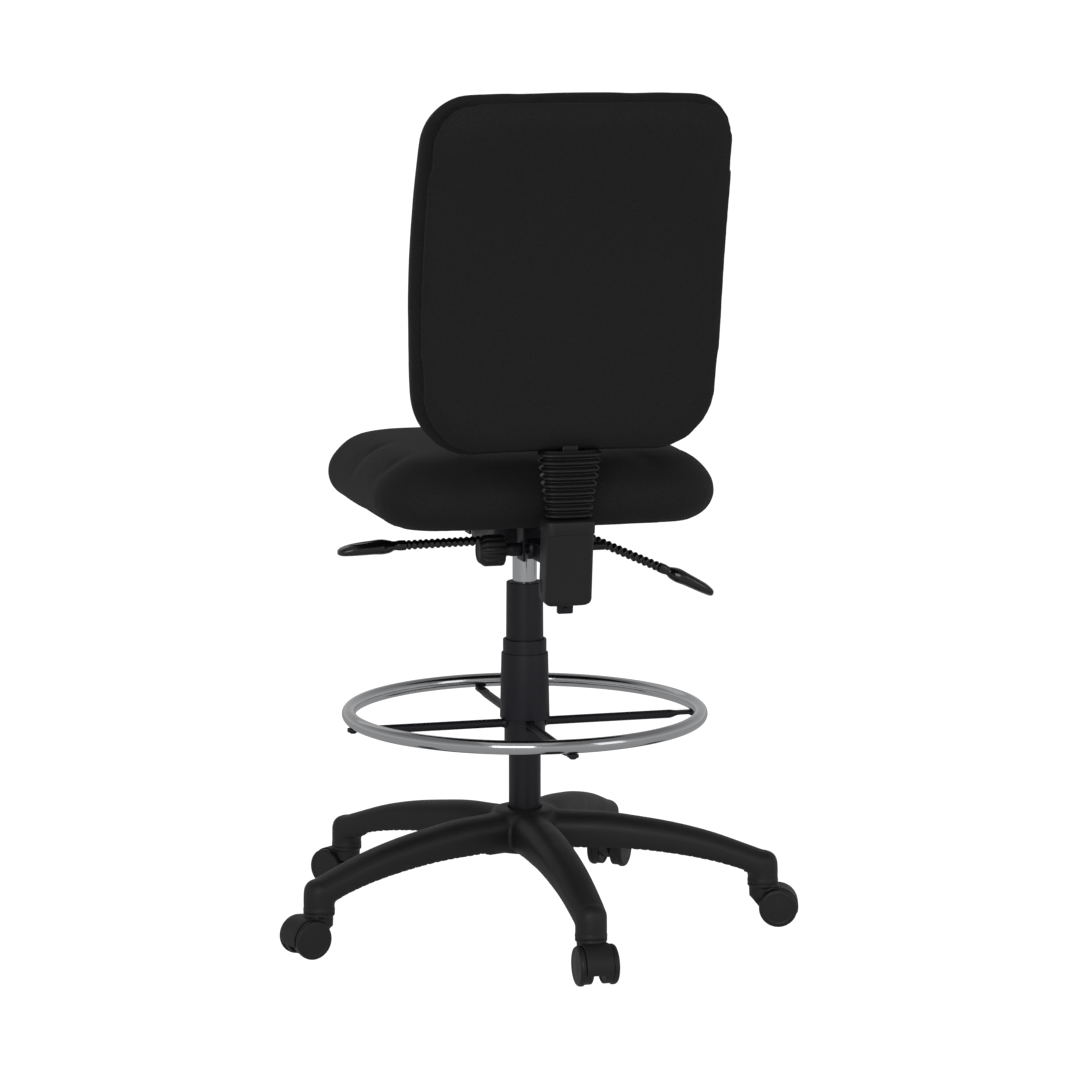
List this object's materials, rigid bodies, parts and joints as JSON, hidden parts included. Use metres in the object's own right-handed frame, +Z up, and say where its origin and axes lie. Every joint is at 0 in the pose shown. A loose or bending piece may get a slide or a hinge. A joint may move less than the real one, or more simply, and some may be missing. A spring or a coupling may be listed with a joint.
{
  "type": "drafting chair",
  "caption": "Height-adjustable drafting chair with upholstered seat and back, chrome foot ring, paddle levers and a five-arm base on twin-wheel casters.",
  "frame": {"origin": "middle of the footprint on the floor: the centre of the bounding box in X and Y, at the height that the wheels stand on. The column axis is at X 0, Y -27.2 mm.", "axes": "+Z up; the sitter looks along -Y, so the back is on the +Y side; +X is the sitter's left"},
  "size_m": [0.6892, 0.6569, 1.0834],
  "materials": {
    "nylon_black": "moulded nylon, fine texture",
    "wheel_nylon": "moulded nylon, smooth",
    "black_steel": "black powder coat",
    "bright_steel": "turned steel",
    "chrome": "polished chrome plate",
    "acetal": "smooth acetal",
    "cover_plastic": "satin polypropylene",
    "lever_plastic": "gloss moulded plastic",
    "boot_rubber": "satin moulded rubber",
    "fabric_black": "fine woven polyester upholstery",
    "plywood": "birch plywood",
    "board_black": "black moulded back board"
  },
  "bodies": {
    "base_frame": {"base": "nylon_black", "column_tube": "black_steel", "guide_bush": "acetal", "thrust_bearing": "bright_steel", "cover_upper": "cover_plastic", "caster_stem_1": "bright_steel", "caster_stem_2": "bright_steel", "caster_stem_3": "bright_steel", "caster_stem_4": "bright_steel", "caster_stem_5": "bright_steel"},
    "lift_piston": {"piston_rod": "bright_steel", "retaining_clip": "bright_steel"},
    "mechanism": {"gas_cylinder": "chrome", "mechanism_housing": "black_steel", "tilt_pin": "bright_steel"},
    "seat": {"seat_plate": "black_steel", "pivot_shaft": "black_steel", "seat_board": "plywood", "seat_cushion": "fabric_black"},
    "back_carrier": {"back_arm": "black_steel", "height_bracket": "nylon_black", "bellows": "boot_rubber"},
    "back": {"upright_bar": "black_steel", "back_cushion": "fabric_black", "back_board": "board_black", "back_shell": "fabric_black"},
    "back_knob": {"back_knob": "nylon_black"},
    "tilt_lever": {"tilt_lever_rod": "black_steel", "tilt_lever_grip": "lever_plastic"},
    "height_lever": {"height_lever_rod": "black_steel", "height_lever_grip": "lever_plastic"},
    "foot_ring_lock": {"foot_ring_collet": "acetal"},
    "foot_ring": {"foot_ring": "chrome", "foot_ring_hub": "black_steel", "cover_lower": "cover_plastic", "foot_ring_screw_1": "black_steel", "foot_ring_screw_2": "black_steel", "foot_ring_screw_3": "black_steel", "foot_ring_screw_4": "black_steel"},
    "cover_middle": {"cover_middle": "cover_plastic"},
    "caster_1": {"caster_housing_1": "nylon_black", "caster_axle_1": "bright_steel"},
    "wheel_left_1": {"wheel_left_1": "wheel_nylon"},
    "wheel_right_1": {"wheel_right_1": "wheel_nylon"},
    "caster_2": {"caster_housing_2": "nylon_black", "caster_axle_2": "bright_steel"},
    "wheel_left_2": {"wheel_left_2": "wheel_nylon"},
    "wheel_right_2": {"wheel_right_2": "wheel_nylon"},
    "caster_3": {"caster_housing_3": "nylon_black", "caster_axle_3": "bright_steel"},
    "wheel_left_3": {"wheel_left_3": "wheel_nylon"},
    "wheel_right_3": {"wheel_right_3": "wheel_nylon"},
    "caster_4": {"caster_housing_4": "nylon_black", "caster_axle_4": "bright_steel"},
    "wheel_left_4": {"wheel_left_4": "wheel_nylon"},
    "wheel_right_4": {"wheel_right_4": "wheel_nylon"},
    "caster_5": {"caster_housing_5": "nylon_black", "caster_axle_5": "bright_steel"},
    "wheel_left_5": {"wheel_left_5": "wheel_nylon"},
    "wheel_right_5": {"wheel_right_5": "wheel_nylon"}
  },
  "joints": [
    {"name": "seat_swivel", "type": "hinge", "parent": "base_frame", "child": "lift_piston", "pos_m": [0, -0.02715, 0.1071], "axis": [0, 0, 1], "continuous": true},
    {"name": "seat_lift", "type": "slide", "parent": "lift_piston", "child": "mechanism", "axis": [0, 0, 1], "range_m": [-0.035, 0.165]},
    {"name": "foot_ring_slide", "type": "slide", "parent": "base_frame", "child": "foot_ring_lock", "axis": [0, 0, 1], "range_m": [-0.07, 0.06]},
    {"name": "foot_ring_twist", "type": "hinge", "parent": "foot_ring_lock", "child": "foot_ring", "pos_m": [0, -0.02715, 0.2505], "axis": [0, 0, 1], "range_deg": [0, 60]},
    {"name": "cover_slide", "type": "slide", "parent": "base_frame", "child": "cover_middle", "axis": [0, 0, 1], "range_m": [-0.035, 0.03]},
    {"name": "seat_tilt", "type": "hinge", "parent": "mechanism", "child": "seat", "pos_m": [0, -0.09715, 0.515], "axis": [1, 0, 0], "range_deg": [-3, 4]},
    {"name": "back_tilt", "type": "hinge", "parent": "seat", "child": "back_carrier", "pos_m": [0, 0.07285, 0.507], "axis": [-1, 0, 0], "range_deg": [-3, 15]},
    {"name": "back_height", "type": "slide", "parent": "back_carrier", "child": "back", "axis": [0, 0.1045, 0.9945], "range_m": [-0.015, 0.05], "deforming": ["bellows"]},
    {"name": "back_knob_turn", "type": "hinge", "parent": "seat", "child": "back_knob", "pos_m": [0.0715, 0.07285, 0.507], "axis": [1, 0, 0], "continuous": true},
    {"name": "tilt_lever_lift", "type": "hinge", "parent": "mechanism", "child": "tilt_lever", "pos_m": [0.05, -0.03915, 0.5025], "axis": [0, -1, 0], "range_deg": [0, 10], "stiffness_Nm_per_rad": 2, "springref_deg": -2.86},
    {"name": "height_lever_lift", "type": "hinge", "parent": "mechanism", "child": "height_lever", "pos_m": [-0.05, -0.03915, 0.5185], "axis": [0, 1, 0], "range_deg": [0, 10], "stiffness_Nm_per_rad": 2, "springref_deg": -2.86},
    {"name": "caster_swivel_1", "type": "hinge", "parent": "base_frame", "child": "caster_1", "pos_m": [0, 0.28285, 0.0505], "axis": [0, 0, 1], "continuous": true},
    {"name": "wheel_left_spin_1", "type": "hinge", "parent": "caster_1", "child": "wheel_left_1", "pos_m": [0, 0.30285, 0.025], "axis": [-1, 0, 0], "continuous": true},
    {"name": "wheel_right_spin_1", "type": "hinge", "parent": "caster_1", "child": "wheel_right_1", "pos_m": [0, 0.30285, 0.025], "axis": [-1, 0, 0], "continuous": true},
    {"name": "caster_swivel_2", "type": "hinge", "parent": "base_frame", "child": "caster_2", "pos_m": [-0.29483, 0.06864, 0.0505], "axis": [0, 0, 1], "continuous": true},
    {"name": "wheel_left_spin_2", "type": "hinge", "parent": "caster_2", "child": "wheel_left_2", "pos_m": [-0.31385, 0.07482, 0.025], "axis": [-0.309, -0.9511, 0], "continuous": true},
    {"name": "wheel_right_spin_2", "type": "hinge", "parent": "caster_2", "child": "wheel_right_2", "pos_m": [-0.31385, 0.07482, 0.025], "axis": [-0.309, -0.9511, 0], "continuous": true},
    {"name": "caster_swivel_3", "type": "hinge", "parent": "base_frame", "child": "caster_3", "pos_m": [-0.18221, -0.27795, 0.0505], "axis": [0, 0, 1], "continuous": true},
    {"name": "wheel_left_spin_3", "type": "hinge", "parent": "caster_3", "child": "wheel_left_3", "pos_m": [-0.19397, -0.29413, 0.025], "axis": [0.809, -0.5878, 0], "continuous": true},
    {"name": "wheel_right_spin_3", "type": "hinge", "parent": "caster_3", "child": "wheel_right_3", "pos_m": [-0.19397, -0.29413, 0.025], "axis": [0.809, -0.5878, 0], "continuous": true},
    {"name": "caster_swivel_4", "type": "hinge", "parent": "base_frame", "child": "caster_4", "pos_m": [0.18221, -0.27795, 0.0505], "axis": [0, 0, 1], "continuous": true},
    {"name": "wheel_left_spin_4", "type": "hinge", "parent": "caster_4", "child": "wheel_left_4", "pos_m": [0.19397, -0.29413, 0.025], "axis": [0.809, 0.5878, 0], "continuous": true},
    {"name": "wheel_right_spin_4", "type": "hinge", "parent": "caster_4", "child": "wheel_right_4", "pos_m": [0.19397, -0.29413, 0.025], "axis": [0.809, 0.5878, 0], "continuous": true},
    {"name": "caster_swivel_5", "type": "hinge", "parent": "base_frame", "child": "caster_5", "pos_m": [0.29483, 0.06864, 0.0505], "axis": [0, 0, 1], "continuous": true},
    {"name": "wheel_left_spin_5", "type": "hinge", "parent": "caster_5", "child": "wheel_left_5", "pos_m": [0.31385, 0.07482, 0.025], "axis": [-0.309, 0.9511, 0], "continuous": true},
    {"name": "wheel_right_spin_5", "type": "hinge", "parent": "caster_5", "child": "wheel_right_5", "pos_m": [0.31385, 0.07482, 0.025], "axis": [-0.309, 0.9511, 0], "continuous": true}
  ],
  "couplings": [
    {"joint": "cover_slide", "follows": "foot_ring_slide", "ratio": 0.5}
  ]
}
